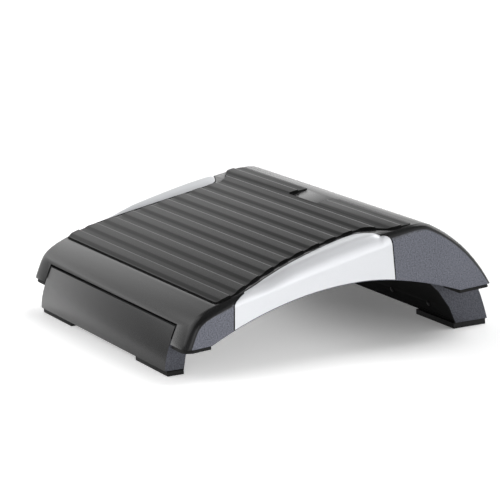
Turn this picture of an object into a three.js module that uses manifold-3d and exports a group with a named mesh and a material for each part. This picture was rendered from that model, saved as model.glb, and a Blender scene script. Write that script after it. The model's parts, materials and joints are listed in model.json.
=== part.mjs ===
import * as THREE from 'three';
import { mergeVertices } from 'three/addons/utils/BufferGeometryUtils.js';
import Module from 'manifold-3d';

const wasm = await Module();
wasm.setup();

// A tilting footrest: a bridge-shaped casing with a ribbed mat on its crowned deck. It stands on a
// low front leg and a high rear leg, and either leg swings inward about a steel rod, which gives
// four tilts. All lengths are in millimetres. Y counts from the front edge and Z from the floor
// until the finished group is moved under the middle of the whole.

// Casing
const overallWidth = 456;
const overallDepth = 402;
const shellHeight = 137;
const wall = 3;
const edgeRound = 1.2;
const bevelDrop = 13.5;
const sideRound = 14;
const railRise = 3;
const railRun = 12;
const deckRibDepth = 6;
const deckRibThickness = 2;
const crossRibSpacing = 50;
const lengthRibSpacing = 110;

// Clearances and meshing
const gap = 0.3;
const overrun = 30;
const rowLength = 8;
const flareRowLength = 3;
const roundSides = 20;
const screwSides = 12;

// Legs
const postWidth = 42.3;
const legClearance = 2;
const footHeight = 6;
const footLength = 89;
const footInset = 2.5;
const footPegRadius = 3;
const footPegSpacing = 52;
const coverThickness = 2.5;
const rearFootOverhang = 3;
const legRibThickness = 2;
const legRibSpacing = 60;
const topFlangeReach = 7;

// Hinges
const rodRadius = 3;
const hingeBossRadius = 9;
const hingeBossDepth = 3;
const bushWall = 2.2;
const bushFlangeWidth = 1.8;
const discRadius = 6.5;
const discThickness = 5;
const rodEnd = 1.5;
const springThickness = 0.8;
const springWidth = 6;
const springFootLength = 7.4;
const springPadHeight = 4;
const springPadRadius = 3.8;

// Corner pads
const padThickness = 4.2;
const padInset = 2.5;
const padOverhang = 2.2;

// Foot mat
const matRecess = 1;
const matBase = 2.2;
const matRibHeight = 1.3;
const matRibPitch = 21.1;
const matFirstRibBack = 17;
const matRibBackRun = 0.6;
const matFrontCorner = 8;
const matRearCorner = 6;
const matNotchWidth = 78.4;
const matNotchCorner = 4;

// Side trims
const trimThickness = 2.2;
const trimBacking = 2.2;
const trimBackingMargin = 4;
const trimLip = 0.8;
const trimFrontRun = 27;
const trimFrontRise = 18;
const trimRearRound = 11;
const trimBossRadius = 3.2;
const trimCollarRadius = 6;
const trimCollarHeight = 4;

// Screws
const screwShankRadius = 1.3;
const screwHeadRadius = 3;
const screwHeadHeight = 1.5;
const coverScrewLength = 12;
const coverScrewBossRadius = 4;
const trimScrewLength = 6;
const trimScrewHeadRadius = 4.6;
const springScrewLength = 6;

const halfWidth = overallWidth / 2;
const legHalf = halfWidth - postWidth;
const notchHalf = legHalf + legClearance;
const legBottom = footHeight + gap;
const boreRadius = rodRadius + gap;
const bushRadius = boreRadius + bushWall;
const trimRecess = trimThickness + gap;

// Middle section of the casing as one chain of curved stretches: a start, then a control point
// and an end for each stretch, as shares of the overall depth and of the shell height.
const sectionShares = [
  [0, 0], [0, 0.024], [0, 0.047],
  [0, 0.175], [0.04, 0.409],
  [0.056, 0.513], [0.115, 0.571],
  [0.42, 0.873], [0.7215, 0.993],
  [0.7587, 1.004], [0.7775, 0.9745],
  [0.895, 0.79], [0.9595, 0.416],
  [0.982, 0.286], [1, 0.048],
  [1, 0.024], [1, 0],
];

// How far the side's edge lies below the deck's, against the depth: shares of bevelDrop
const bevelShares = [
  [0, 0.6], [0.045, 0.53], [0.11, 0.6], [0.167, 0.73], [0.256, 0.88],
  [0.42, 1.03], [0.64, 1], [0.745, 0.68], [0.82, 0.52], [0.9, 0.44], [0.964, 0.28], [1, 0.22],
];

// Where the deck ends sideways, against the depth: shares of half the width
const deckEdgeShares = [
  [0.02, 0.944], [0.1, 0.947], [0.135, 0.96], [0.199, 0.966], [0.229, 0.957],
  [0.264, 0.937], [0.309, 0.91], [0.358, 0.8815], [0.408, 0.86], [0.458, 0.842],
  [0.515, 0.8255], [0.56, 0.82], [0.582, 0.8235], [0.597, 0.842], [0.6095, 0.879],
  [0.6195, 0.931], [0.627, 0.964], [0.64, 0.97],
];
const bandTurnShare = 0.8;
const flareShares = [0.57, 0.65];

// How far the side rails stand above the deck, against the depth: shares of railRise
const railShares = [[0.2, 0], [0.3, 0.9], [0.4, 1], [0.59, 1], [0.65, 0.2], [0.69, 0]];

// Where the mat ends sideways, against the depth: shares of half the width
const matEdgeShares = [
  [0.169, 0.957], [0.22, 0.924], [0.27, 0.89], [0.322, 0.857], [0.3745, 0.829],
  [0.427, 0.812], [0.48, 0.801], [0.536, 0.7955], [0.587, 0.793], [0.617, 0.807],
  [0.637, 0.851], [0.652, 0.912], [0.664, 0.949], [0.682, 0.96],
];
const matFrontShare = 0.1275;
const matRearShare = 0.7235;
const matNotchFrontShare = 0.6605;
const matRibTopShare = 0.5;
const matRibSlopeShare = 0.2;

// Lower edge of the side walls between the posts, as shares of depth and height
const archShares = [
  [0.0905, 0.2664], [0.317, 0.5985], [0.545, 0.5985], [0.685, 0.5985], [0.8653, 0.3956],
];

// Height of the plane under the corner pads at the front and rear edge: shares of shellHeight
const padPlaneShares = [0.2267, 0.3925];

// Trim outline from the side: its front and rear edges at the top and at the arch. The front
// corner bends over at a share of its rise.
const trimFrontShare = 0.1663;
const trimFrontFootShare = 0.1626;
const trimFrontShoulderShare = 0.555;
const trimFrontBendShare = 0.45;
const trimRearTopShare = 0.6538;
const trimRearShoulderShare = 0.868;
const trimRearFootShare = 0.6588;
const trimScrewShares = [[0.274, 0.555], [0.585, 0.72]];
const deckRibShares = [0.246, 0.62];
const coverScrewXShares = [-0.72, -0.24, 0.24, 0.72];

// The two ends. Places are [reach inward from that end's edge, height] as shares of depth and
// height, and innerShares is the inner edge of a leg's cheek from its foot upward.
const frontEnd = {
  name: 'front',
  face: 0,
  inward: 1,
  hingeShares: [0.0797, 0.4088],
  springSeatShare: 0.0485,
  legTopShare: 0.4015,
  postShare: archShares[0][0],
  innerShares: [[0.0561, 0.0394], [0.0641, 0.1628], [0.071, 0.2628], [0.102, 0.3796]],
  footOverhang: 0,
  coverScrewShare: 0.45,
};
const rearEnd = {
  name: 'rear',
  face: overallDepth,
  inward: -1,
  hingeShares: [0.1317, 0.5693],
  springSeatShare: 0.1,
  legTopShare: 0.5401,
  postShare: 1 - archShares[4][0],
  innerShares: [[0.102, 0.0467], [0.1205, 0.186], [0.1535, 0.336], [0.1825, 0.4234]],
  footOverhang: rearFootOverhang,
  coverScrewShare: 0.35,
};
const ends = [frontEnd, rearEnd];
const sides = [{ name: 'left', sign: -1 }, { name: 'right', sign: 1 }];

// Solids from closed geometry, and back

function solid(geometry) {
  geometry.deleteAttribute('normal');
  geometry.deleteAttribute('uv');
  const merged = mergeVertices(geometry);
  const corners = merged.index.array;
  const kept = [];
  for (let i = 0; i < corners.length; i += 3) {
    const [a, b, c] = [corners[i], corners[i + 1], corners[i + 2]];
    if (a !== b && b !== c && c !== a) kept.push(a, b, c);
  }
  return new wasm.Manifold(new wasm.Mesh({
    numProp: 3,
    vertProperties: new Float32Array(merged.attributes.position.array),
    triVerts: new Uint32Array(kept),
  }));
}

function geometryOf(body) {
  const mesh = body.getMesh();
  const geometry = new THREE.BufferGeometry();
  geometry.setAttribute('position', new THREE.BufferAttribute(mesh.vertProperties, 3));
  geometry.setIndex(new THREE.BufferAttribute(mesh.triVerts, 1));
  geometry.computeVertexNormals();
  return geometry;
}

function joined(bodies) {
  return bodies.reduce((whole, body) => whole.add(body));
}

// Outline of [y, z] points, carried along X from xa to xb
function prismX(points, xa, xb) {
  const shape = new THREE.Shape(points.map(([y, z]) => new THREE.Vector2(y, z)));
  const depth = Math.abs(xb - xa);
  const geometry = new THREE.ExtrudeGeometry(shape, { depth, bevelEnabled: false });
  const turn = new THREE.Matrix4().makeBasis(
    new THREE.Vector3(0, 1, 0),
    new THREE.Vector3(0, 0, 1),
    new THREE.Vector3(1, 0, 0),
  );
  geometry.applyMatrix4(turn);
  geometry.translate(Math.min(xa, xb), 0, 0);
  return solid(geometry);
}

// Outline of [x, y] points, carried up from za to zb
function prismZ(points, za, zb) {
  const shape = new THREE.Shape(points.map(([x, y]) => new THREE.Vector2(x, y)));
  const geometry = new THREE.ExtrudeGeometry(shape, { depth: zb - za, bevelEnabled: false });
  geometry.translate(0, 0, za);
  return solid(geometry);
}

function block(xa, xb, ya, yb, za, zb) {
  return prismX([[ya, za], [yb, za], [yb, zb], [ya, zb]], xa, xb);
}

// Profile of [radius, distance] points, turned about the axis that starts at a point and runs
// along a direction
function turned(profile, start, direction, around = roundSides) {
  const points = profile.map(([radius, distance]) => new THREE.Vector2(radius, distance));
  const geometry = new THREE.LatheGeometry(points, around);
  const up = new THREE.Vector3(0, 1, 0);
  const turn = new THREE.Quaternion().setFromUnitVectors(up, direction.clone().normalize());
  geometry.applyQuaternion(turn);
  geometry.translate(start.x, start.y, start.z);
  return solid(geometry);
}

function bar(start, end, radius, around = roundSides) {
  const along = end.clone().sub(start);
  const length = along.length();
  return turned([[0, 0], [radius, 0], [radius, length], [0, length]], start, along, around);
}

function screwHole(start, end) {
  return bar(start, end, screwShankRadius + gap, screwSides);
}

function ring(start, direction, length, outerRadius, innerRadius) {
  const profile = [
    [innerRadius, 0], [outerRadius, 0], [outerRadius, length], [innerRadius, length],
    [innerRadius, 0],
  ];
  return turned(profile, start, direction);
}

// A pan-head screw. The start is where the head's underside bears, and the shank runs from there.
function screw(start, direction, length, headRadius) {
  const profile = [
    [0, -screwHeadHeight],
    [headRadius * 0.7, -screwHeadHeight],
    [headRadius, -screwHeadHeight * 0.45],
    [headRadius, 0],
    [screwShankRadius, 0],
    [screwShankRadius, length - screwShankRadius],
    [0, length],
  ];
  return turned(profile, start, direction, screwSides);
}

// Curves in a plane

// Value at a place on a smooth curve through a table of [place, value] pairs
function smoothValue(table, place) {
  const last = table.length - 1;
  if (place <= table[0][0]) return table[0][1];
  if (place >= table[last][0]) return table[last][1];
  let k = 0;
  while (place > table[k + 1][0]) k += 1;
  const slope = (i) => {
    if (i === 0 || i === last) return 0;
    return (table[i + 1][1] - table[i - 1][1]) / (table[i + 1][0] - table[i - 1][0]);
  };
  const span = table[k + 1][0] - table[k][0];
  const t = (place - table[k][0]) / span;
  const ease = t * t * (3 - 2 * t);
  const leave = t * (1 - t) * (1 - t) * span * slope(k);
  const arrive = t * t * (1 - t) * span * slope(k + 1);
  return table[k][1] * (1 - ease) + table[k + 1][1] * ease + leave - arrive;
}

// Points at a distance to the left of a line of [a, b] points
function offsetLine(points, distance) {
  return points.map(([a, b], i) => {
    const before = points[Math.max(i - 1, 0)];
    const after = points[Math.min(i + 1, points.length - 1)];
    const along = new THREE.Vector2(after[0] - before[0], after[1] - before[1]).normalize();
    return [a - along.y * distance, b + along.x * distance];
  });
}

// Outline through [a, b, radius] corners, with each corner that has a radius rounded
function roundedOutline(corners) {
  const points = [];
  corners.forEach(([a, b, radius], i) => {
    if (!radius) {
      points.push([a, b]);
      return;
    }
    const here = new THREE.Vector2(a, b);
    const before = corners[(i + corners.length - 1) % corners.length];
    const after = corners[(i + 1) % corners.length];
    const back = new THREE.Vector2(before[0] - a, before[1] - b).normalize();
    const ahead = new THREE.Vector2(after[0] - a, after[1] - b).normalize();
    const reach = radius / Math.tan(back.angleTo(ahead) / 2);
    const start = here.clone().addScaledVector(back, reach);
    const end = here.clone().addScaledVector(ahead, reach);
    const curve = new THREE.QuadraticBezierCurve(start, here, end);
    curve.getPoints(5).forEach((point) => points.push([point.x, point.y]));
  });
  return points;
}

function depthAndHeight([depthShare, heightShare]) {
  return new THREE.Vector2(depthShare * overallDepth, heightShare * shellHeight);
}

function chainCurves(shares) {
  const curves = [];
  for (let i = 0; i + 2 < shares.length; i += 2) {
    const [start, control, end] = shares.slice(i, i + 3).map(depthAndHeight);
    curves.push(new THREE.QuadraticBezierCurve(start, control, end));
  }
  return curves;
}

// Stations along the middle section, each with its point and the direction out of the casing
function sectionStations() {
  const stations = [];
  for (const curve of chainCurves(sectionShares)) {
    const length = curve.getLength();
    let t = 0;
    while (t < 1) {
      const point = curve.getPoint(t);
      const along = curve.getTangent(t);
      stations.push({ point, out: new THREE.Vector2(-along.y, along.x) });
      const share = point.x / overallDepth;
      const inFlare = share > flareShares[0] && share < flareShares[1];
      const step = (inFlare ? flareRowLength : rowLength) / length;
      const rest = (1 - t) / step;
      t += rest < 1.5 ? Math.max((1 - t) / Math.round(rest), 1e-6) : step;
    }
  }
  const end = depthAndHeight(sectionShares[sectionShares.length - 1]);
  stations.push({ point: end, out: new THREE.Vector2(1, 0) });
  return stations;
}

const stations = sectionStations();

// Point above the deck at a depth, lifted square to the deck
function deckPoint(y, lift) {
  const k = stations.findIndex((station) => station.point.x > y);
  const [a, b] = [stations[k - 1], stations[k]];
  const t = (y - a.point.x) / (b.point.x - a.point.x);
  const point = a.point.clone().lerp(b.point, t);
  const out = a.out.clone().lerp(b.out, t).normalize();
  return [point.x + out.x * lift, point.y + out.y * lift];
}

function padPlane(y, lift) {
  const front = padPlaneShares[0] * shellHeight;
  const rise = (padPlaneShares[1] - padPlaneShares[0]) * shellHeight;
  const slope = rise / overallDepth;
  return front + slope * y + lift * Math.hypot(1, slope);
}

// Casing body

// One row across the casing. A rail rises from the deck's edge to a shoulder, and a rounded band
// turns down from there to the edge of the side, most sharply at bandTurnShare of its width.
function bodyRow({ point, out }, inset) {
  const share = point.x / overallDepth;
  const edgeX = halfWidth * smoothValue(deckEdgeShares, share) - inset;
  const sideX = halfWidth - inset;
  const shoulderX = Math.max(edgeX, sideX - sideRound);
  const railWidthShare = Math.min((shoulderX - edgeX) / railRun, 1);
  const rise = railRise * railWidthShare * smoothValue(railShares, share);
  const drop = bevelDrop * smoothValue(bevelShares, share);
  const at = (x, depth) => new THREE.Vector3(x, point.x - out.x * depth, point.y - out.y * depth);
  const deckEdge = at(edgeX, inset);
  const shoulder = at(shoulderX, inset - rise);
  const turn = at(shoulderX + (sideX - shoulderX) * bandTurnShare, inset - rise);
  const sideEdge = at(sideX, inset + drop);
  const onSide = at(sideX, inset + drop + edgeRound);
  const aboveSideEdge = sideEdge.clone().add(turn.clone().sub(sideEdge).setLength(edgeRound));
  const band = new THREE.QuadraticBezierCurve3(shoulder, turn, sideEdge);
  const corner = new THREE.QuadraticBezierCurve3(aboveSideEdge, sideEdge, onSide);
  const plain = [deckEdge, ...band.getPoints(2)];
  const rounded = [deckEdge, ...band.getPoints(4).slice(0, -1), ...corner.getPoints(2)];
  const right = inset > 0 ? plain : rounded;
  const left = right.map((place) => new THREE.Vector3(-place.x, place.y, place.z)).reverse();
  return [...left, ...right];
}

function capFaces(outline, corners) {
  const order = outline.map((_, i) => i);
  if (THREE.ShapeUtils.isClockWise(outline)) order.reverse();
  const faces = THREE.ShapeUtils.triangulateShape(order.map((i) => outline[i]), []);
  return faces.map((face) => face.map((i) => corners[order[i]]));
}

// The whole casing as a closed body down to the floor, with every face moved in by the inset.
// Its outside has finely rounded edges, and the surfaces inside it have plainer ones.
function casingBody(inset) {
  const rows = stations.map((station) => bodyRow(station, inset));
  const across = rows[0].length;
  const corners = rows.flat();
  const index = [];
  for (let i = 0; i + 1 < rows.length; i += 1) {
    for (let j = 0; j + 1 < across; j += 1) {
      const a = i * across + j;
      const b = a + across;
      index.push(a, a + 1, b + 1, a, b + 1, b);
    }
  }
  const right = rows.map((_, i) => (i + 1) * across - 1);
  const left = rows.map((_, i) => i * across);
  const sideView = (list) => list.map((i) => new THREE.Vector2(corners[i].y, corners[i].z));
  capFaces(sideView(right), right).forEach(([a, b, c]) => index.push(a, b, c));
  capFaces(sideView(left), left).forEach(([a, b, c]) => index.push(c, b, a));
  const first = rows[0].map((_, j) => j);
  const last = rows[0].map((_, j) => (rows.length - 1) * across + j).reverse();
  const bottom = [...first, ...last];
  const planView = bottom.map((i) => new THREE.Vector2(corners[i].x, corners[i].y));
  capFaces(planView, bottom).forEach(([a, b, c]) => index.push(c, b, a));
  const geometry = new THREE.BufferGeometry().setFromPoints(corners);
  geometry.setIndex(index);
  return solid(geometry);
}

const outerBody = casingBody(0);
const cavity = casingBody(wall);

// Places at one end of the casing

function endY(end, reach) {
  return end.face + end.inward * reach;
}

function hingeAt(end, x) {
  const [reachShare, heightShare] = end.hingeShares;
  const y = endY(end, reachShare * overallDepth);
  return new THREE.Vector3(x, y, heightShare * shellHeight);
}

function legTop(end) {
  return end.legTopShare * shellHeight;
}

function innerEdge(end) {
  return end.innerShares.map(([reach, height]) => [
    endY(end, reach * overallDepth),
    height * shellHeight,
  ]);
}

// The inner edge, carried on up to the side of the hinge boss
function cheekLine(end) {
  const hinge = hingeAt(end, 0);
  return [...innerEdge(end), [hinge.y + end.inward * hingeBossRadius, hinge.z]];
}

// The part of an upward line of [y, z] points that lies between two heights
function betweenHeights(line, floor, top) {
  const at = (height) => {
    const k = Math.max(line.findIndex((point) => point[1] > height), 1);
    const [[ya, za], [yb, zb]] = [line[k - 1], line[k]];
    return [ya + ((yb - ya) * (height - za)) / (zb - za), height];
  };
  return [at(floor), ...line.filter((point) => point[1] > floor && point[1] < top), at(top)];
}

// Side view of a leg's inside up to its inner edge, kept back from that edge by a setback
function legZone(end, floor, top, setback) {
  const edge = betweenHeights(offsetLine(cheekLine(end), setback * end.inward), floor, top);
  const outside = endY(end, -overrun);
  return [[outside, floor], ...edge, [outside, top]];
}

// Side view of a cheek: the leg's zone with a round boss about the hinge
function cheekZone(end) {
  const edge = innerEdge(end);
  edge[0] = [edge[0][0], legBottom];
  const hinge = hingeAt(end, 0);
  const arc = [];
  const steps = roundSides / 2;
  for (let i = 0; i <= steps; i += 1) {
    const angle = Math.PI * (i / steps);
    const y = hinge.y + end.inward * hingeBossRadius * Math.cos(angle);
    arc.push([y, hinge.z + hingeBossRadius * Math.sin(angle)]);
  }
  const outside = endY(end, -overrun);
  const shoulder = [arc[arc.length - 1][0], legTop(end)];
  return [[outside, legBottom], ...edge, ...arc, shoulder, [outside, legTop(end)]];
}

function coverScrews(end) {
  const edge = innerEdge(end);
  const [low, high] = [edge[0], edge[1]].map(([y, z]) => new THREE.Vector3(0, y, z));
  const run = edge[2][1] - edge[0][1];
  const seat = low.clone().lerp(high, (end.coverScrewShare * run) / (high.z - low.z));
  const along = high.sub(low).normalize();
  const inward = new THREE.Vector3(0, along.z, -along.y).multiplyScalar(end.inward);
  return coverScrewXShares.map((share) => ({
    seat: new THREE.Vector3(share * legHalf, seat.y, seat.z),
    inward,
  }));
}

function footCentres(end, side) {
  const middle = side.sign * (legHalf - footLength / 2);
  const edge = end.innerShares[0][0] * overallDepth;
  const y = endY(end, (edge + footInset) / 2);
  return [-1, 1].map((step) => new THREE.Vector2(middle + (step * footPegSpacing) / 2, y));
}

// Legs

function legShell(end) {
  const rib = coverThickness + gap;
  const floor = legBottom + wall;
  const top = legTop(end);
  const hinge = hingeAt(end, 0);
  const beyond = endY(end, overallDepth / 2);
  const flange = hinge.y - end.inward * topFlangeReach;
  const hollow = prismX([
    [endY(end, -overrun), floor], [beyond, floor], [beyond, shellHeight], [flange, shellHeight],
    [flange, top - wall], [endY(end, -overrun), top - wall],
  ], wall - legHalf, legHalf - wall).intersect(cavity);
  let leg = prismX(cheekZone(end), -legHalf, legHalf).intersect(outerBody).subtract(hollow);
  const above = block(wall - legHalf, legHalf - wall, endY(end, 0), beyond, top, shellHeight);
  leg = leg.subtract(above);

  const inside = prismX(legZone(end, floor - gap, top - wall + gap, rib), -legHalf, legHalf)
    .intersect(casingBody(wall - gap));
  const plates = [];
  const count = Math.floor((legHalf - wall) / legRibSpacing);
  for (let i = -count; i <= count; i += 1) {
    const x = i * legRibSpacing;
    const half = legRibThickness / 2;
    plates.push(block(x - half, x + half, endY(end, -overrun), beyond, 0, top));
  }
  for (const { seat, inward } of coverScrews(end)) {
    const far = seat.clone().addScaledVector(inward, -overrun * 2);
    plates.push(bar(seat, far, coverScrewBossRadius, screwSides));
  }
  leg = leg.add(joined(plates).intersect(inside));

  const holes = [bar(hingeAt(end, -halfWidth), hingeAt(end, halfWidth), boreRadius)];
  for (const { seat, inward } of coverScrews(end)) {
    const start = seat.clone().addScaledVector(inward, overrun);
    const tip = seat.clone().addScaledVector(inward, -coverScrewLength - gap);
    holes.push(screwHole(start, tip));
  }
  for (const side of sides) {
    for (const centre of footCentres(end, side)) {
      const start = new THREE.Vector3(centre.x, centre.y, 0);
      const tip = new THREE.Vector3(centre.x, centre.y, floor + gap);
      holes.push(bar(start, tip, footPegRadius + gap));
    }
  }
  return leg.subtract(joined(holes));
}

function legCover(end) {
  const floor = legBottom + wall + gap;
  const line = cheekLine(end);
  const top = line[line.length - 2][1] - coverThickness;
  const edge = betweenHeights(line, floor, top);
  const back = betweenHeights(offsetLine(line, coverThickness * end.inward), floor, top);
  const half = legHalf - wall - gap;
  let cover = prismX([...edge, ...back.reverse()], -half, half);
  for (const { seat, inward } of coverScrews(end)) {
    const start = seat.clone().addScaledVector(inward, overrun);
    const tip = seat.clone().addScaledVector(inward, -overrun);
    cover = cover.subtract(screwHole(start, tip));
  }
  return cover;
}

function legFoot(end, side) {
  const inner = legHalf - footLength;
  const edge = endY(end, end.innerShares[0][0] * overallDepth - gap + end.footOverhang);
  const outside = endY(end, -overrun);
  const zone = block(side.sign * inner, side.sign * legHalf, outside, edge, 0, footHeight);
  let foot = zone.intersect(casingBody(footInset));
  for (const centre of footCentres(end, side)) {
    const start = new THREE.Vector3(centre.x, centre.y, footHeight / 2);
    const tip = new THREE.Vector3(centre.x, centre.y, legBottom + wall - gap);
    foot = foot.add(bar(start, tip, footPegRadius));
  }
  return foot;
}

// Hinge pieces. Positions along X count outward from the outer face of a post's inner wall.

function outwardFromNotch(side, distance) {
  return side.sign * (notchHalf + distance);
}

const bushLength = wall + hingeBossDepth;
const discStart = bushLength + gap;

function hingeRod(end) {
  const reach = notchHalf + discStart + discThickness + rodEnd;
  return bar(hingeAt(end, -reach), hingeAt(end, reach), rodRadius);
}

function bush(end, side) {
  const outward = new THREE.Vector3(side.sign, 0, 0);
  const flangeStart = hingeAt(end, outwardFromNotch(side, gap - legClearance));
  const flangeThickness = legClearance - 2 * gap;
  const profile = [
    [boreRadius, 0],
    [bushRadius + bushFlangeWidth, 0],
    [bushRadius + bushFlangeWidth, flangeThickness],
    [bushRadius, flangeThickness],
    [bushRadius, flangeThickness + gap + bushLength],
    [boreRadius, flangeThickness + gap + bushLength],
    [boreRadius, 0],
  ];
  return turned(profile, flangeStart, outward);
}

function frictionDisc(end, side) {
  const outward = new THREE.Vector3(side.sign, 0, 0);
  const start = hingeAt(end, outwardFromNotch(side, discStart + gap));
  return ring(start, outward, discThickness - gap, discRadius, boreRadius);
}

function springScrewSeat(end, side) {
  const x = outwardFromNotch(side, discStart + springWidth / 2);
  const y = endY(end, end.springSeatShare * overallDepth);
  const floor = padPlane(y, padThickness + gap + wall);
  return new THREE.Vector3(x, y, floor + springPadHeight);
}

function frictionSpring(end, side) {
  const seat = springScrewSeat(end, side);
  const hinge = hingeAt(end, 0);
  const footZ = seat.z + gap + springThickness / 2;
  const leafZ = hinge.z - discRadius - gap - springThickness / 2;
  const footHalf = springFootLength / 2;
  const line = [
    [seat.y - end.inward * footHalf, footZ],
    [seat.y + end.inward * footHalf, footZ],
    [hinge.y - end.inward * discRadius, leafZ],
    [hinge.y + (end.inward * discRadius) / 2, leafZ],
  ];
  const outline = [
    ...offsetLine(line, springThickness / 2),
    ...offsetLine(line, -springThickness / 2).reverse(),
  ];
  const xa = outwardFromNotch(side, discStart);
  const xb = outwardFromNotch(side, discStart + springWidth);
  const down = new THREE.Vector3(seat.x, seat.y, 0);
  const up = new THREE.Vector3(seat.x, seat.y, shellHeight);
  return prismX(outline, xa, xb).subtract(screwHole(down, up));
}

function springScrew(end, side) {
  const seat = springScrewSeat(end, side);
  seat.z += gap + springThickness + gap;
  return screw(seat, new THREE.Vector3(0, 0, -1), springScrewLength, screwHeadRadius);
}

// Casing details

function belowPlane(lift) {
  const [near, far] = [-overrun, overallDepth + overrun];
  return prismX([
    [near, -overrun], [far, -overrun], [far, padPlane(far, lift)], [near, padPlane(near, lift)],
  ], -halfWidth - overrun, halfWidth + overrun);
}

function postWalls(end, side) {
  const hinge = hingeAt(end, 0);
  const outside = endY(end, -overrun);
  const post = endY(end, end.postShare * overallDepth);
  const beside = hinge.y + end.inward * (hingeBossRadius + wall);
  const below = hinge.z - hingeBossRadius - wall;
  const wallZone = [
    [outside, 0], [post, 0], [post, below], [beside, hinge.z], [beside, shellHeight],
    [outside, shellHeight],
  ];
  const inner = prismX(wallZone, outwardFromNotch(side, 0), outwardFromNotch(side, wall));
  const floorTop = (y) => padPlane(y, padThickness + gap + wall);
  const floor = prismX([
    [outside, 0], [post, 0], [post, floorTop(post)], [outside, floorTop(outside)],
  ], outwardFromNotch(side, 0), side.sign * halfWidth);
  const bossEnd = hingeAt(end, outwardFromNotch(side, bushLength));
  const boss = bar(hingeAt(end, outwardFromNotch(side, wall / 2)), bossEnd, hingeBossRadius);
  const seat = springScrewSeat(end, side);
  const springPad = bar(new THREE.Vector3(seat.x, seat.y, 0), seat, springPadRadius);
  return joined([inner, floor, boss, springPad]).intersect(casingBody(wall / 2));
}

function postHoles(end, side) {
  const from = hingeAt(end, outwardFromNotch(side, -legClearance));
  const to = hingeAt(end, outwardFromNotch(side, bushLength + wall));
  const seat = springScrewSeat(end, side);
  const tip = seat.clone();
  tip.z -= springScrewLength - gap;
  const top = seat.clone();
  top.z += wall;
  return bar(from, to, bushRadius + gap).add(screwHole(tip, top));
}

function legNotch(end) {
  const top = legTop(end) + legClearance;
  const beyond = endY(end, overallDepth / 4);
  return block(-notchHalf, notchHalf, endY(end, -overrun), beyond, -overrun, top);
}

function archLine(lift) {
  const points = chainCurves(archShares).flatMap((curve, i) => {
    return curve.getPoints(14).slice(i ? 1 : 0);
  });
  return points.map((point) => [point.x, point.y + lift]);
}

function archCut() {
  const line = archLine(0);
  const first = line[0];
  const last = line[line.length - 1];
  const outline = [[first[0], -overrun], ...line, [last[0], -overrun]];
  return prismX(outline, -halfWidth - overrun, halfWidth + overrun);
}

function deckRibs() {
  const [ya, yb] = deckRibShares.map((share) => share * overallDepth);
  const half = deckRibThickness / 2;
  const plates = [];
  const rows = Math.floor((yb - ya) / crossRibSpacing);
  for (let i = 0; i <= rows; i += 1) {
    const y = ya + i * crossRibSpacing;
    plates.push(block(-halfWidth, halfWidth, y - half, y + half, 0, shellHeight));
  }
  for (let i = -1; i <= 1; i += 1) {
    const x = i * lengthRibSpacing;
    plates.push(block(x - half, x + half, ya, ya + rows * crossRibSpacing, 0, shellHeight));
  }
  const band = casingBody(wall / 2).subtract(casingBody(wall + deckRibDepth));
  return joined(plates).intersect(band);
}

// Side trims

function trimSideView(grow) {
  const front = trimFrontShare * overallDepth - grow;
  const frontFoot = trimFrontFootShare * overallDepth - grow;
  const shoulder = trimFrontShoulderShare * shellHeight;
  const rearTop = trimRearTopShare * overallDepth + grow;
  const rearShoulder = trimRearShoulderShare * shellHeight;
  const rearFoot = trimRearFootShare * overallDepth + grow;
  const high = shellHeight + overrun;
  const frontArc = new THREE.QuadraticBezierCurve(
    new THREE.Vector2(front, shoulder),
    new THREE.Vector2(front, shoulder + trimFrontBendShare * trimFrontRise),
    new THREE.Vector2(front + trimFrontRun, shoulder + trimFrontRise),
  ).getPoints(6);
  const rearArc = new THREE.QuadraticBezierCurve(
    new THREE.Vector2(rearTop - trimRearRound, rearShoulder + trimRearRound),
    new THREE.Vector2(rearTop, rearShoulder + trimRearRound),
    new THREE.Vector2(rearTop, rearShoulder),
  ).getPoints(6);
  const lower = archLine(trimLip - grow).filter(([y]) => y > frontFoot && y < rearFoot);
  const pairs = (points) => points.map((point) => [point.x, point.y]);
  const heightAt = (y) => {
    const line = archLine(trimLip - grow);
    const k = line.findIndex((point) => point[0] > y);
    const t = (y - line[k - 1][0]) / (line[k][0] - line[k - 1][0]);
    return line[k - 1][1] + (line[k][1] - line[k - 1][1]) * t;
  };
  return [
    [frontFoot, heightAt(frontFoot)], ...pairs(frontArc), [front + trimFrontRun, high],
    [rearTop - trimRearRound, high], ...pairs(rearArc), [rearFoot, heightAt(rearFoot)],
    ...lower.reverse(),
  ];
}

function trimPlanView(side, grow) {
  const inFront = trimFrontShare * overallDepth - overrun;
  const behind = trimRearFootShare * overallDepth + overrun;
  const edge = stations.filter(({ point, out }) => {
    return out.y > 0 && point.x > inFront && point.x < behind;
  });
  const line = edge.map(({ point }) => {
    const x = halfWidth * smoothValue(deckEdgeShares, point.x / overallDepth);
    return [side.sign * (x - grow), point.x];
  });
  const far = side.sign * (halfWidth + overrun);
  return [...line, [far, line[line.length - 1][1]], [far, line[0][1]]];
}

function trimZone(side, grow) {
  const sideView = prismX(trimSideView(grow), 0, side.sign * (halfWidth + overrun));
  return sideView.intersect(prismZ(trimPlanView(side, grow), -overrun, shellHeight + overrun));
}

function trimFixings(side) {
  return trimScrewShares.map((place) => {
    const at = depthAndHeight(place);
    return (x) => new THREE.Vector3(side.sign * x, at.x, at.y);
  });
}

const trimCollarEnd = halfWidth - trimRecess - trimBacking - trimCollarHeight;

function sideTrim(side) {
  let trim = trimZone(side, 0).intersect(outerBody).subtract(casingBody(trimThickness));
  for (const at of trimFixings(side)) {
    const boss = bar(at(halfWidth - trimThickness / 2), at(trimCollarEnd + 2 * gap), trimBossRadius);
    const pilot = screwHole(at(halfWidth - trimThickness / 2), at(0));
    trim = trim.add(boss).subtract(pilot);
  }
  return trim;
}

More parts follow.
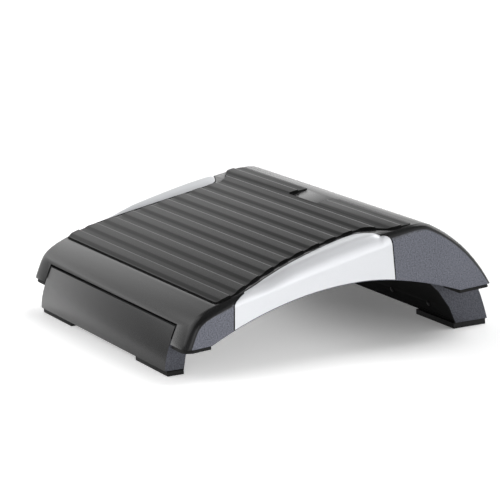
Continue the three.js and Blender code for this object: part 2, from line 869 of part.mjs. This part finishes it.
function trimScrews(side) {
  const outward = new THREE.Vector3(side.sign, 0, 0);
  return trimFixings(side).map((at) => {
    return screw(at(trimCollarEnd - gap), outward, trimScrewLength, trimScrewHeadRadius);
  });
}

function trimSeat(side) {
  const backing = trimZone(side, trimBackingMargin)
    .intersect(casingBody(trimRecess))
    .subtract(casingBody(trimRecess + trimBacking));
  const collars = trimFixings(side).map((at) => {
    return bar(at(halfWidth - trimRecess - gap), at(trimCollarEnd), trimCollarRadius);
  });
  return joined([backing, ...collars]);
}

function trimHoles(side) {
  return trimFixings(side).map((at) => {
    return bar(at(halfWidth), at(trimCollarEnd - wall), trimBossRadius + gap);
  });
}

// Foot mat

function matPlan(grow) {
  const front = matFrontShare * overallDepth - grow;
  const rear = matRearShare * overallDepth + grow;
  const notchFront = matNotchFrontShare * overallDepth + grow;
  const notchHalfWidth = matNotchWidth / 2 - grow;
  const xAt = (share) => halfWidth * smoothValue(matEdgeShares, share) + grow;
  const first = matEdgeShares[0][0];
  const last = matEdgeShares[matEdgeShares.length - 1][0];
  const flank = [];
  const steps = 44;
  for (let i = 1; i < steps; i += 1) {
    const share = first + (last - first) * (i / steps);
    flank.push([xAt(share), share * overallDepth, 0]);
  }
  const right = [
    [xAt(first), front, matFrontCorner],
    [xAt(first), first * overallDepth, 0],
    ...flank,
    [xAt(last), last * overallDepth, 0],
    [xAt(last), rear, matRearCorner],
    [notchHalfWidth, rear, matNotchCorner],
    [notchHalfWidth, notchFront, matNotchCorner],
  ];
  const left = right.map(([x, y, radius]) => [-x, y, radius]).reverse();
  return roundedOutline([...right, ...left]);
}

function matRibBacks() {
  const front = matFrontShare * overallDepth;
  const rear = matRearShare * overallDepth;
  const backs = [];
  for (let y = front + matFirstRibBack; y < rear - matRibPitch / 4; y += matRibPitch) backs.push(y);
  return backs;
}

function footMat() {
  const start = matFrontShare * overallDepth - matRibPitch / 2;
  const end = matRearShare * overallDepth + matRibPitch / 2;
  const under = gap - matRecess;
  const groove = under + matBase;
  const crest = groove + matRibHeight;
  const top = [deckPoint(start, groove)];
  for (const back of matRibBacks()) {
    const crestStart = back - matRibTopShare * matRibPitch;
    top.push(deckPoint(crestStart - matRibSlopeShare * matRibPitch, groove));
    top.push(deckPoint(crestStart, crest));
    top.push(deckPoint(back - matRibBackRun, crest));
    top.push(deckPoint(back, groove));
  }
  top.push(deckPoint(end, groove));
  const bottom = stations
    .filter(({ point, out }) => out.y > 0 && point.x > start && point.x < end)
    .map(({ point }) => deckPoint(point.x, under));
  const profile = [...top, deckPoint(end, under), ...bottom.reverse(), deckPoint(start, under)];
  return prismX(profile, -halfWidth, halfWidth).intersect(prismZ(matPlan(0), 0, shellHeight * 2));
}

function matBed() {
  return prismZ(matPlan(gap), 0, shellHeight * 2).subtract(casingBody(matRecess));
}

// Casing and pads

function topShell() {
  const added = [deckRibs()];
  const removed = [belowPlane(padThickness + gap), archCut(), matBed()];
  for (const side of sides) {
    added.push(trimSeat(side));
    removed.push(trimZone(side, gap).subtract(casingBody(trimRecess)), ...trimHoles(side));
    for (const end of ends) {
      added.push(postWalls(end, side));
      removed.push(postHoles(end, side));
    }
  }
  for (const end of ends) removed.push(legNotch(end));
  return outerBody.subtract(cavity).add(joined(added)).subtract(joined(removed));
}

function cornerPad(end, side) {
  const post = endY(end, end.postShare * overallDepth + padOverhang);
  const outside = endY(end, -overrun);
  const inner = side.sign * (notchHalf + gap);
  const zone = block(inner, side.sign * halfWidth, outside, post, 0, shellHeight);
  const slab = belowPlane(padThickness).subtract(belowPlane(0));
  return zone.intersect(slab).intersect(casingBody(padInset));
}

// Materials and assembly

function material(color, roughness, metalness) {
  return new THREE.MeshStandardMaterial({ color, roughness, metalness });
}

const charcoalPlastic = material(0x3a3b3d, 0.5, 0);
const silverPlastic = material(0xd6d8db, 0.35, 0.3);
const matRubber = material(0x2e2e2f, 0.75, 0);
const blackRubber = material(0x111113, 0.8, 0);
const steel = material(0xb4b6ba, 0.35, 1);
const whiteNylon = material(0xdedcd4, 0.5, 0);
const springSteel = material(0x8f9297, 0.3, 1);
const zincScrew = material(0xa7a9ad, 0.4, 1);

const footrest = new THREE.Group();
footrest.position.y = -overallDepth / 2;

function addPiece(name, body, look) {
  const mesh = new THREE.Mesh(geometryOf(body), look);
  mesh.name = name;
  footrest.add(mesh);
}

addPiece('top_shell', topShell(), charcoalPlastic);
addPiece('foot_mat', footMat(), matRubber);
for (const side of sides) {
  addPiece(`${side.name}_side_trim`, sideTrim(side), silverPlastic);
  trimScrews(side).forEach((body, i) => {
    addPiece(`${side.name}_trim_screw_${i + 1}`, body, zincScrew);
  });
}
for (const end of ends) {
  addPiece(`${end.name}_leg_shell`, legShell(end), charcoalPlastic);
  addPiece(`${end.name}_leg_cover`, legCover(end), charcoalPlastic);
  coverScrews(end).forEach(({ seat, inward }, i) => {
    const start = seat.clone().addScaledVector(inward, gap);
    const body = screw(start, inward.clone().negate(), coverScrewLength, screwHeadRadius);
    addPiece(`${end.name}_cover_screw_${i + 1}`, body, zincScrew);
  });
  addPiece(`${end.name}_hinge_rod`, hingeRod(end), steel);
  for (const side of sides) {
    const corner = `${end.name}_${side.name}`;
    addPiece(`${corner}_leg_foot`, legFoot(end, side), blackRubber);
    addPiece(`${corner}_corner_pad`, cornerPad(end, side), blackRubber);
    addPiece(`${corner}_hinge_bush`, bush(end, side), whiteNylon);
    addPiece(`${corner}_friction_disc`, frictionDisc(end, side), whiteNylon);
    addPiece(`${corner}_friction_spring`, frictionSpring(end, side), springSteel);
    addPiece(`${corner}_spring_screw`, springScrew(end, side), zincScrew);
  }
}

export default footrest;
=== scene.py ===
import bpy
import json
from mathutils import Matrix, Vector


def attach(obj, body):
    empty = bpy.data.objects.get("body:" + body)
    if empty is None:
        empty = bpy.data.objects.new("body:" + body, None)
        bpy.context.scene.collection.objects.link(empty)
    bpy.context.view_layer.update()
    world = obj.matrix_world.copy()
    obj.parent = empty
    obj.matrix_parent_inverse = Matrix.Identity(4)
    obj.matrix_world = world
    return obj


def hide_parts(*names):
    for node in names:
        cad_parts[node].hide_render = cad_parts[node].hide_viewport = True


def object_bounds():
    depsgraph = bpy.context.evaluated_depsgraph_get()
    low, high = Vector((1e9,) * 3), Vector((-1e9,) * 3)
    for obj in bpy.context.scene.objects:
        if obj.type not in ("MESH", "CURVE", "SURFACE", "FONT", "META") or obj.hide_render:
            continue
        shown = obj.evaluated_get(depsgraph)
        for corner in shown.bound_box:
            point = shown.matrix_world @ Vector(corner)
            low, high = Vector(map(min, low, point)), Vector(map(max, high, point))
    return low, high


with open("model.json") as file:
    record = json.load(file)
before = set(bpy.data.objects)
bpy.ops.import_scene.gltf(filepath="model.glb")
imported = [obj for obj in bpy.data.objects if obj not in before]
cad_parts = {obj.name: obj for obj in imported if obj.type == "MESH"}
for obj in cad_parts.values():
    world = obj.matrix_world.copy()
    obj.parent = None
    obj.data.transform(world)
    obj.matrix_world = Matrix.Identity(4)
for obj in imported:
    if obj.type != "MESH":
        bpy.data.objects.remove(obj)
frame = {"nodes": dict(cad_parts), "record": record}
cad_box = [list(corner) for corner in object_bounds()]

import json
import math

import bpy
from mathutils import Matrix, Vector
from mathutils.bvhtree import BVHTree

# Lengths are in metres. The footrest's low front edge faces -Y, its high rear edge +Y.
mm = 0.001


# Camera, at the photograph's viewing angle

camera_azimuth = math.radians(65.31)
camera_elevation = math.radians(12.18)
camera_roll = math.radians(-3.0)
camera_distance = 3204.7 * mm
camera_aim_y = -197 * mm
camera_to_right = 167.4 * mm
camera_up = 106.1 * mm
camera_sensor = 36.0
camera_lens_to_sensor = 5.6
camera_reach = 50


def make_camera():
    sin_a, cos_a = math.sin(camera_azimuth), math.cos(camera_azimuth)
    sin_e, cos_e = math.sin(camera_elevation), math.cos(camera_elevation)
    back = Vector((sin_a * cos_e, -cos_a * cos_e, sin_e))
    level_right = Vector((cos_a, sin_a, 0))
    level_up = back.cross(level_right)
    sin_r, cos_r = math.sin(camera_roll), math.cos(camera_roll)
    right = cos_r * level_right + sin_r * level_up
    up = cos_r * level_up - sin_r * level_right
    place = Vector((0, camera_aim_y, 0)) + back * camera_distance
    place += right * camera_to_right + up * camera_up
    data = bpy.data.cameras.new("camera")
    data.sensor_width = camera_sensor
    data.lens = camera_sensor * camera_lens_to_sensor
    data.clip_end = camera_reach
    camera = bpy.data.objects.new("camera", data)
    turn = Matrix((right, up, back)).transposed().to_4x4()
    camera.matrix_world = Matrix.Translation(place) @ turn
    bpy.context.scene.collection.objects.link(camera)
    bpy.context.scene.camera = camera


make_camera()


# Nodes that the light, the floor and the materials share

def add_node(tree, kind, inputs=None, **settings):
    """A node with its settings. Each input is given a value, or the output that feeds it."""
    node = tree.nodes.new(kind)
    for name, value in settings.items():
        setattr(node, name, value)
    for place, value in (inputs or {}).items():
        if isinstance(value, bpy.types.NodeSocket):
            tree.links.new(value, node.inputs[place])
        else:
            node.inputs[place].default_value = value
    return node


def map_range(tree, value, start, end, curve="LINEAR"):
    """A value carried over from one range to another, each a low and a high end."""
    inputs = {"Value": value, "From Min": start[0], "From Max": start[1],
              "To Min": end[0], "To Max": end[1]}
    return add_node(tree, "ShaderNodeMapRange", inputs, interpolation_type=curve).outputs["Result"]


def calculate(tree, operation, *values):
    node = add_node(tree, "ShaderNodeMath", dict(enumerate(values)), operation=operation)
    return node.outputs["Value"]


def grey_ramp(tree, value, tones, curve="LINEAR"):
    """Grey tones at places from 0 to 1."""
    node = add_node(tree, "ShaderNodeValToRGB", {"Fac": value})
    node.color_ramp.interpolation = curve
    stops = node.color_ramp.elements
    for place, tone in tones[1:-1]:
        stops.new(place).color = (tone, tone, tone, 1)
    for stop, (place, tone) in ((stops[0], tones[0]), (stops[len(stops) - 1], tones[-1])):
        stop.position = place
        stop.color = (tone, tone, tone, 1)
    return node.outputs["Color"]


def new_material(name, roughness, specular=0.5, metallic=0.0):
    material = bpy.data.materials.new(name)
    material.use_nodes = True
    shader = material.node_tree.nodes["Principled BSDF"]
    shader.inputs["Roughness"].default_value = roughness
    shader.inputs["Specular IOR Level"].default_value = specular
    shader.inputs["Metallic"].default_value = metallic
    return material


# Light and floor

wide_lights = (
    ("rear_light", (-0.1, 0.72, 0.69), 50, 2.4),
    ("front_left_light", (-0.55, -0.6, 0.58), 50, 0.7),
    ("right_light", (0.95, 0.2, 0.12), 26, 0.65),
)
near_light_place = (0.85, -0.75, 0.3)
near_light_size = 0.5
near_light_strength = 1.4
horizon_light = 1.35
horizon_tones = ((0.42, 1), (0.78, 0.12))
camera_side = (0.2, -0.98, 0)
camera_side_reach = (-0.3, 0.8)
camera_side_share = 0.3
floor_half = 6.0
floor_drop = 0.05 * mm
floor_grey = 0.9
floor_roughness = 0.6
floor_specular = 0.2
# The floor's emission is painted light, strongest toward the front of the footrest
floor_painted_light_reach = (-0.06, 0.15)
floor_painted_light_strength = (0.42, 0.13)


def add_light(name, data, place):
    """A light at a place, turned toward the middle of the footrest."""
    light = bpy.data.objects.new(name, data)
    light.location = place
    light.rotation_euler = Vector(place).to_track_quat("Z", "Y").to_euler()
    bpy.context.scene.collection.objects.link(light)


def wide_light(name, come_from, spread, strength):
    """An even light from one direction, spread over an angle in degrees."""
    data = bpy.data.lights.new(name, "SUN")
    data.angle = math.radians(spread)
    data.energy = strength
    add_light(name, data, come_from)


def softbox(name, place, size, strength):
    data = bpy.data.lights.new(name, "AREA")
    data.size = size
    data.energy = strength
    add_light(name, data, place)


def make_surroundings():
    """A bright horizon under a darker ceiling, and a darker room on the photographer's side."""
    world = bpy.data.worlds.new("studio")
    bpy.context.scene.world = world
    world.use_nodes = True
    tree = world.node_tree
    direction = add_node(tree, "ShaderNodeTexCoord").outputs["Generated"]
    parts = add_node(tree, "ShaderNodeSeparateXYZ", {"Vector": direction})
    tones = grey_ramp(tree, parts.outputs["Z"], horizon_tones, "EASE")
    toward = add_node(tree, "ShaderNodeVectorMath", {0: direction, 1: camera_side},
                      operation="DOT_PRODUCT")
    lights = (horizon_light, horizon_light * camera_side_share)
    strength = map_range(tree, toward.outputs["Value"], camera_side_reach, lights, "SMOOTHSTEP")
    background = tree.nodes["Background"]
    tree.links.new(tones, background.inputs["Color"])
    tree.links.new(strength, background.inputs["Strength"])


def make_studio():
    for name, come_from, spread, strength in wide_lights:
        wide_light(name, come_from, spread, strength)
    softbox("near_light", near_light_place, near_light_size, near_light_strength)
    make_surroundings()
    bpy.context.scene.view_settings.view_transform = "Standard"


def make_floor():
    """White paper whose emission is painted light, strongest in front and fading toward the back of
    the footrest.
    """
    bpy.ops.object.select_all(action="DESELECT")
    bpy.ops.mesh.primitive_plane_add(size=2 * floor_half, location=(0, 0, -floor_drop))
    floor = bpy.context.object
    floor.name = "floor"
    material = new_material("floor_paper", floor_roughness, floor_specular)
    tree = material.node_tree
    shader = tree.nodes["Principled BSDF"]
    shader.inputs["Base Color"].default_value = (floor_grey, floor_grey, floor_grey, 1)
    shader.inputs["Emission Color"].default_value = (1, 1, 1, 1)
    place = add_node(tree, "ShaderNodeTexCoord").outputs["Object"]
    parts = add_node(tree, "ShaderNodeSeparateXYZ", {"Vector": place})
    # Painted light: the floor glows more toward the front
    painted_floor_light = map_range(tree, parts.outputs["Y"], floor_painted_light_reach, floor_painted_light_strength, "SMOOTHERSTEP")
    tree.links.new(painted_floor_light, shader.inputs["Emission Strength"])
    floor.data.materials.append(material)


make_studio()
make_floor()


# Materials. Patterns are in metres, on Object coordinates.

noise_reach = (0.3, 0.7)
grain_detail = 2.0
grain_share = 0.7
cloud_scale = 14.0
cloud_detail = 3.0
cloud_share = 0.3
side_turn = (0.93, 0.995)
coat_roughness = 0.25
rib_grain_scale = 900.0
rib_grain_reach = (0.6, 1.4)
rib_relief = 0.05 * mm

# Tones across one rib of the mat, against its pitch: painted shade on the front slope, and a
# painted highlight along the back edge
rib_shade_and_highlight_tones = (
    (0.0, 0.03), (0.26, 0.026), (0.34, 0.003), (0.46, 0.005), (0.53, 0.04),
    (0.93, 0.045), (0.955, 0.2), (0.985, 0.2), (1.0, 0.03),
)


def new_group(name, inputs):
    """A node group with the given inputs that puts out a colour, a roughness and a height."""
    tree = bpy.data.node_groups.new(name, "ShaderNodeTree")
    for label, value in inputs.items():
        kind = "NodeSocketFloat" if isinstance(value, float) else "NodeSocketColor"
        socket = tree.interface.new_socket(name=label, in_out="INPUT", socket_type=kind)
        socket.default_value = value
    for label, kind in (("Color", "NodeSocketColor"), ("Roughness", "NodeSocketFloat"),
                        ("Height", "NodeSocketFloat")):
        tree.interface.new_socket(name=label, in_out="OUTPUT", socket_type=kind)
    return tree, add_node(tree, "NodeGroupInput").outputs, add_node(tree, "NodeGroupOutput")


def put_out(tree, result, color, roughness, height):
    tree.links.new(color, result.inputs["Color"])
    tree.links.new(roughness, result.inputs["Roughness"])
    tree.links.new(height, result.inputs["Height"])


def noise(tree, place, scale, detail):
    inputs = {"Vector": place, "Scale": scale, "Detail": detail}
    return add_node(tree, "ShaderNodeTexNoise", inputs).outputs["Fac"]


def mixed(tree, share, first, second):
    inputs = {"Factor": share, 6: first, 7: second}
    return add_node(tree, "ShaderNodeMix", inputs, data_type="RGBA").outputs[2]


def make_grain_group():
    """Colour, roughness and relief of a grained moulding; faces turned to X have their own tone,
    partly their grain and partly painted light.
    """
    dark, light = (0.03, 0.03, 0.03, 1), (0.06, 0.06, 0.06, 1)
    tree, given, result = new_group("fine_grain", {
        "Dark": dark, "Light": light, "Side dark": dark, "Side light": light,
        "Grain scale": 2500.0, "Cloud scale": cloud_scale,
        "Rough low": 0.4, "Rough high": 0.5, "Side rough": 0.0,
    })
    place = add_node(tree, "ShaderNodeTexCoord").outputs
    grain = noise(tree, place["Object"], given["Grain scale"], grain_detail)
    cloud = noise(tree, place["Object"], given["Cloud scale"], cloud_detail)
    spread = map_range(tree, grain, noise_reach, (0, 1))
    share = calculate(tree, "MULTIPLY", spread, grain_share)
    blend = calculate(tree, "MULTIPLY_ADD", cloud, cloud_share, share)
    plain = mixed(tree, blend, given["Dark"], given["Light"])
    aside = mixed(tree, blend, given["Side dark"], given["Side light"])
    turned = add_node(tree, "ShaderNodeSeparateXYZ", {"Vector": place["Normal"]})
    # Faces turned to X take the side tones, made lighter partly as painted light
    to_side = calculate(tree, "ABSOLUTE", turned.outputs["X"])
    to_side = map_range(tree, to_side, side_turn, (0, 1), "SMOOTHSTEP")
    rough = map_range(tree, cloud, (0, 1), (given["Rough low"], given["Rough high"]))
    rough = calculate(tree, "MULTIPLY_ADD", to_side, given["Side rough"], rough)
    put_out(tree, result, mixed(tree, to_side, plain, aside), rough, grain)
    return tree


def make_rib_group():
    """Tones of a ribbed rubber: painted shade on the front slopes, and a painted highlight along
    the back edge of each rib.
    """
    tree, given, result = new_group("rib_shade_and_highlight_tones", {
        "Pitch": 0.02, "First edge": 0.0, "Rough low": 0.5, "Rough high": 0.6,
    })
    place = add_node(tree, "ShaderNodeTexCoord").outputs["Object"]
    parts = add_node(tree, "ShaderNodeSeparateXYZ", {"Vector": place})
    from_first = calculate(tree, "SUBTRACT", parts.outputs["Y"], given["First edge"])
    in_pitches = calculate(tree, "DIVIDE", from_first, given["Pitch"])
    # The ramp paints shade on each front slope and a highlight on each back edge
    tones = grey_ramp(tree, calculate(tree, "FRACT", in_pitches), rib_shade_and_highlight_tones)
    grain = noise(tree, place, rib_grain_scale, grain_detail)
    spread = map_range(tree, grain, noise_reach, rib_grain_reach)
    speckled = add_node(tree, "ShaderNodeVectorMath", {0: tones, "Scale": spread},
                        operation="SCALE")
    rough = map_range(tree, grain, (0, 1), (given["Rough low"], given["Rough high"]))
    put_out(tree, result, speckled.outputs["Vector"], rough, grain)
    return tree


grain_group = make_grain_group()
rib_group = make_rib_group()


def shade_by(material, group_tree, values, relief):
    """Feeds a material from a node group that is given its own values."""
    tree = material.node_tree
    shader = tree.nodes["Principled BSDF"]
    group = add_node(tree, "ShaderNodeGroup", node_tree=group_tree)
    for label, value in values.items():
        group.inputs[label].default_value = value
    bump = add_node(tree, "ShaderNodeBump", {
        "Strength": 1.0, "Distance": relief, "Height": group.outputs["Height"],
    })
    tree.links.new(group.outputs["Color"], shader.inputs["Base Color"])
    tree.links.new(group.outputs["Roughness"], shader.inputs["Roughness"])
    tree.links.new(bump.outputs["Normal"], shader.inputs["Normal"])


def grained(name, tones, rough, grain_size, relief, side_tones=None, side_rough=0.0,
            specular=0.5, metallic=0.0):
    """A moulded finish: tones are a dark and a light colour, rough a low and a high value."""
    material = new_material(name, rough[0], specular, metallic)
    shader = material.node_tree.nodes["Principled BSDF"]
    shader.inputs["Coat Roughness"].default_value = coat_roughness
    side_tones = side_tones or tones
    shade_by(material, grain_group, {
        "Dark": (*tones[0], 1), "Light": (*tones[1], 1),
        "Side dark": (*side_tones[0], 1), "Side light": (*side_tones[1], 1),
        "Grain scale": 1 / grain_size,
        "Rough low": rough[0], "Rough high": rough[1], "Side rough": side_rough,
    }, relief)
    return material


def ribbed(name, pitch, first_edge, rough, specular):
    material = new_material(name, rough[0], specular)
    shade_by(material, rib_group, {
        "Pitch": pitch, "First edge": first_edge, "Rough low": rough[0], "Rough high": rough[1],
    }, rib_relief)
    return material


# Side tones for faces turned to X: a bluish grain, lighter on the casing as painted light from the
# right, and darker on the legs as painted shade
charcoal = ((0.008, 0.008, 0.0083), (0.013, 0.013, 0.0133))
side_grain_and_painted_light = ((0.045, 0.047, 0.06), (0.165, 0.172, 0.205))
leg_side_grain_and_painted_shade = ((0.024, 0.025, 0.033), (0.088, 0.092, 0.11))
casing_plastic = grained("casing_plastic", charcoal, (0.19, 0.24), 1.5 * mm, 0.008 * mm,
                         side_tones=side_grain_and_painted_light, side_rough=0.25, specular=0.25)
leg_plastic = grained("leg_plastic", charcoal, (0.22, 0.28), 1.5 * mm, 0.008 * mm,
                      side_tones=leg_side_grain_and_painted_shade, side_rough=0.25, specular=0.25)
mat_rubber = ribbed("mat_rubber", 21.1 * mm, -133.5 * mm, (0.5, 0.6), specular=0.25)
silver_paint = grained("silver_paint", ((0.56, 0.57, 0.59), (0.62, 0.63, 0.65)), (0.4, 0.46),
                       0.3 * mm, 0.01 * mm, metallic=0.3)
black_rubber = grained("black_rubber", ((0.004, 0.004, 0.004), (0.009, 0.009, 0.009)),
                       (0.6, 0.7), 0.8 * mm, 0.05 * mm, specular=0.2)
# Near-black painted shade for joint gaps and the mat's walls
gap_painted_shade = grained("gap_painted_shade", ((0.002, 0.002, 0.002), (0.004, 0.004, 0.004)), (0.7, 0.8),
                     0.8 * mm, 0.01 * mm, specular=0.1)
hollow_painted_shade = grained("hollow_painted_shade", ((0.003, 0.003, 0.003), (0.006, 0.006, 0.006)),
                       (0.8, 0.9), 0.8 * mm, 0.02 * mm, specular=0.1)
white_nylon = grained("white_nylon", ((0.62, 0.61, 0.57), (0.7, 0.69, 0.65)), (0.4, 0.5),
                      1.2 * mm, 0.02 * mm)
rod_steel = grained("rod_steel", ((0.5, 0.5, 0.51), (0.62, 0.62, 0.63)), (0.25, 0.38),
                    0.5 * mm, 0.01 * mm, metallic=1.0)
spring_steel = grained("spring_steel", ((0.35, 0.36, 0.38), (0.47, 0.48, 0.5)), (0.3, 0.42),
                       0.6 * mm, 0.01 * mm, metallic=1.0)
screw_black = grained("screw_black", ((0.03, 0.03, 0.032), (0.05, 0.05, 0.052)), (0.35, 0.45),
                      0.8 * mm, 0.02 * mm, metallic=1.0)


# Pieces

hollow_slots = ("casing", "leg_casing", "mat")
merge_reach = 0.002 * mm
flat_angle = math.radians(0.4)
rounded_angle = math.radians(30)
edge_steps = 3
trim_set_in = 0.1 * mm

# Faces of the mat above this share of upward are its top. Faces of the casing and the legs
# below the second, or turned inward more than the third, look into the hollow.
# Those faces, and the mat's walls, get near-black painted shade
mat_top_turn = 0.5
underside_turn = -0.25
inward_turn = 0.3
ray_start = 0.05 * mm
ray_reach = 0.5

# Joints between pieces, as dark beads of painted shade in their gaps
joint_angle = math.radians(40)
joint_low_turn = -0.3
joint_sink_share = 0.7
joint_merge_reach = 0.15 * mm
joint_set_in = 0.05 * mm
joint_smooth_angle = math.radians(60)
joint_steps = 1


def surface_of(mesh):
    places = [vertex.co.copy() for vertex in mesh.vertices]
    return BVHTree.FromPolygons(places, [list(face.vertices) for face in mesh.polygons])


surfaces = {node: surface_of(piece.data) for node, piece in frame["nodes"].items()}
outlines = {}


def body_of(node):
    for body, nodes in frame["record"]["behaviour"]["bodies"].items():
        if node in nodes:
            return body
    return None


def keep_inside(mesh, set_in):
    """Moves every vertex nearer to the sides of the CAD box than a set-in back to it."""
    for vertex in mesh.vertices:
        vertex.co = [min(max(value, low + set_in), high - set_in)
                     for value, low, high in zip(vertex.co, cad_box[0], cad_box[1])]


def select_only(piece):
    bpy.ops.object.select_all(action="DESELECT")
    bpy.context.view_layer.objects.active = piece
    piece.select_set(True)


def is_inside(node, face, surface):
    """Whether a face looks into the hollow under the footrest, or is a wall of the mat; such faces
    get near-black painted shade.
    """
    if node == "foot_mat":
        return face.normal.z < mat_top_turn
    inward = -1 if node.startswith("rear") else 1 if node.startswith("front") else 0
    if face.normal.z < underside_turn or inward * face.normal.y > inward_turn:
        return True
    start = face.center + face.normal * ray_start
    return surface.ray_cast(start, face.normal, ray_reach)[0] is not None


def finished_copy(node, materials, slot, edge):
    """A merged copy of a node with softened edges and smooth round faces, in the node's place."""
    piece = bpy.data.objects.new(node + "_finished", frame["nodes"][node].data.copy())
    bpy.context.scene.collection.objects.link(piece)
    select_only(piece)
    piece.data.materials.clear()
    for material in materials:
        piece.data.materials.append(material)
    bpy.ops.object.mode_set(mode="EDIT")
    bpy.ops.mesh.select_all(action="SELECT")
    bpy.ops.mesh.remove_doubles(threshold=merge_reach)
    bpy.ops.mesh.dissolve_limited(angle_limit=flat_angle)
    bpy.ops.object.mode_set(mode="OBJECT")
    outlines[node] = piece.data.copy()
    bevel = piece.modifiers.new("softened_edges", "BEVEL")
    bevel.width = edge
    bevel.segments = edge_steps
    bevel.limit_method = "ANGLE"
    bevel.angle_limit = rounded_angle
    bpy.ops.object.modifier_apply(modifier=bevel.name)
    if slot == "side_trim":
        keep_inside(piece.data, trim_set_in)
    # Faces that look into the hollow, and the mat's walls, get the second material: painted shade
    if slot in hollow_slots:
        surface = surface_of(piece.data)
        for face in piece.data.polygons:
            if is_inside(node, face, surface):
                face.material_index = 1
    bpy.ops.object.shade_smooth_by_angle(angle=rounded_angle)
    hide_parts(node)
    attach(piece, body_of(node))


def faces_by_edge(mesh):
    sides = {}
    for face in mesh.polygons:
        for key in face.edge_keys:
            sides.setdefault(key, []).append(face)
    return sides


def is_outer_edge(mesh, key, pair):
    """Whether two faces meet at a sharp edge that stands out."""
    if len(pair) != 2:
        return False
    first, second = pair
    if first.normal.length < 0.5 or second.normal.length < 0.5:
        return False
    if first.normal.angle(second.normal) < joint_angle:
        return False
    return (second.center - mesh.vertices[key[0]].co).dot(first.normal) < 0


def joint_edges(node, others, reach, sink, upward):
    """Ends of the outer edges of a node within a reach of the other nodes, sunk into the node."""
    mesh = outlines[node]
    edges = []
    for key, pair in faces_by_edge(mesh).items():
        if not is_outer_edge(mesh, key, pair):
            continue
        turns = [face.normal.z for face in pair]
        if min(turns) < joint_low_turn or (upward and max(turns) < upward):
            continue
        ends = [mesh.vertices[place].co for place in key]
        middle = (ends[0] + ends[1]) / 2
        if all(any(surfaces[other].find_nearest(place, reach)[0] is not None for other in others)
               for place in (*ends, middle)):
            sunk = sum((face.normal for face in pair), Vector()).normalized()
            edges.append([end - sunk * sink for end in ends])
    return edges


def joint_line(node, others, reach, radius, upward=0.0):
    """The dark line of a joint, as a fine bead sunk along the edges of a node: painted shade of the
    gap.
    """
    edges = joint_edges(node, others, reach, joint_sink_share * radius, upward)
    if not edges:
        return
    points = [end for edge in edges for end in edge]
    mesh = bpy.data.meshes.new(node + "_joint")
    mesh.from_pydata(points, [(i, i + 1) for i in range(0, len(points), 2)], [])
    piece = bpy.data.objects.new(node + "_joint", mesh)
    bpy.context.scene.collection.objects.link(piece)
    select_only(piece)
    bpy.ops.object.mode_set(mode="EDIT")
    bpy.ops.mesh.select_all(action="SELECT")
    bpy.ops.mesh.remove_doubles(threshold=joint_merge_reach)
    bpy.ops.object.mode_set(mode="OBJECT")
    bpy.ops.object.convert(target="CURVE")
    piece = bpy.context.object
    piece.data.bevel_depth = radius
    piece.data.bevel_resolution = joint_steps
    bpy.ops.object.convert(target="MESH")
    piece = bpy.context.object
    keep_inside(piece.data, joint_set_in)
    piece.data.materials.clear()
    piece.data.materials.append(gap_painted_shade)
    bpy.ops.object.shade_smooth_by_angle(angle=joint_smooth_angle)
    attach(piece, body_of(node))


# For each slot of the record: its materials, the hollow's second (near-black painted shade), and
# the width of its edges
finishes = {
    "casing": ((casing_plastic, hollow_painted_shade), 0.5 * mm),
    "leg_casing": ((leg_plastic, hollow_painted_shade), 0.5 * mm),
    "mat": ((mat_rubber, gap_painted_shade), 0.4 * mm),
    "side_trim": ((silver_paint,), 0.35 * mm),
    "foot_rubber": ((black_rubber,), 0.6 * mm),
    "nylon": ((white_nylon,), 0.2 * mm),
    "rod_steel": ((rod_steel,), 0.4 * mm),
    "spring_steel": ((spring_steel,), 0.1 * mm),
    "screw": ((screw_black,), 0.15 * mm),
}

# For each kind of node that shows a joint: the nodes it meets, how near their surface lies, the
# bead's radius, and how far up one face must look
casings = ("top_shell", "front_leg_shell", "rear_leg_shell")
joints = {
    "side_trim": (("top_shell",), 8 * mm, 0.9 * mm, 0.0),
    "leg_shell": (("top_shell",), 2.6 * mm, 0.9 * mm, 0.0),
    "corner_pad": (casings, 0.6 * mm, 0.7 * mm, 0.5),
    "leg_foot": (casings, 0.6 * mm, 0.7 * mm, 0.5),
}

for subpart in frame["record"]["subparts"]:
    node, slot = subpart["node"], subpart["material_slot"]
    finished_copy(node, finishes[slot][0], slot, finishes[slot][1])
    for ending, (others, reach, radius, upward) in joints.items():
        if node.endswith(ending):
            joint_line(node, others, reach, radius, upward)
joint_line("top_shell", ("foot_mat",), 0.6 * mm, 1.0 * mm, 0.5)
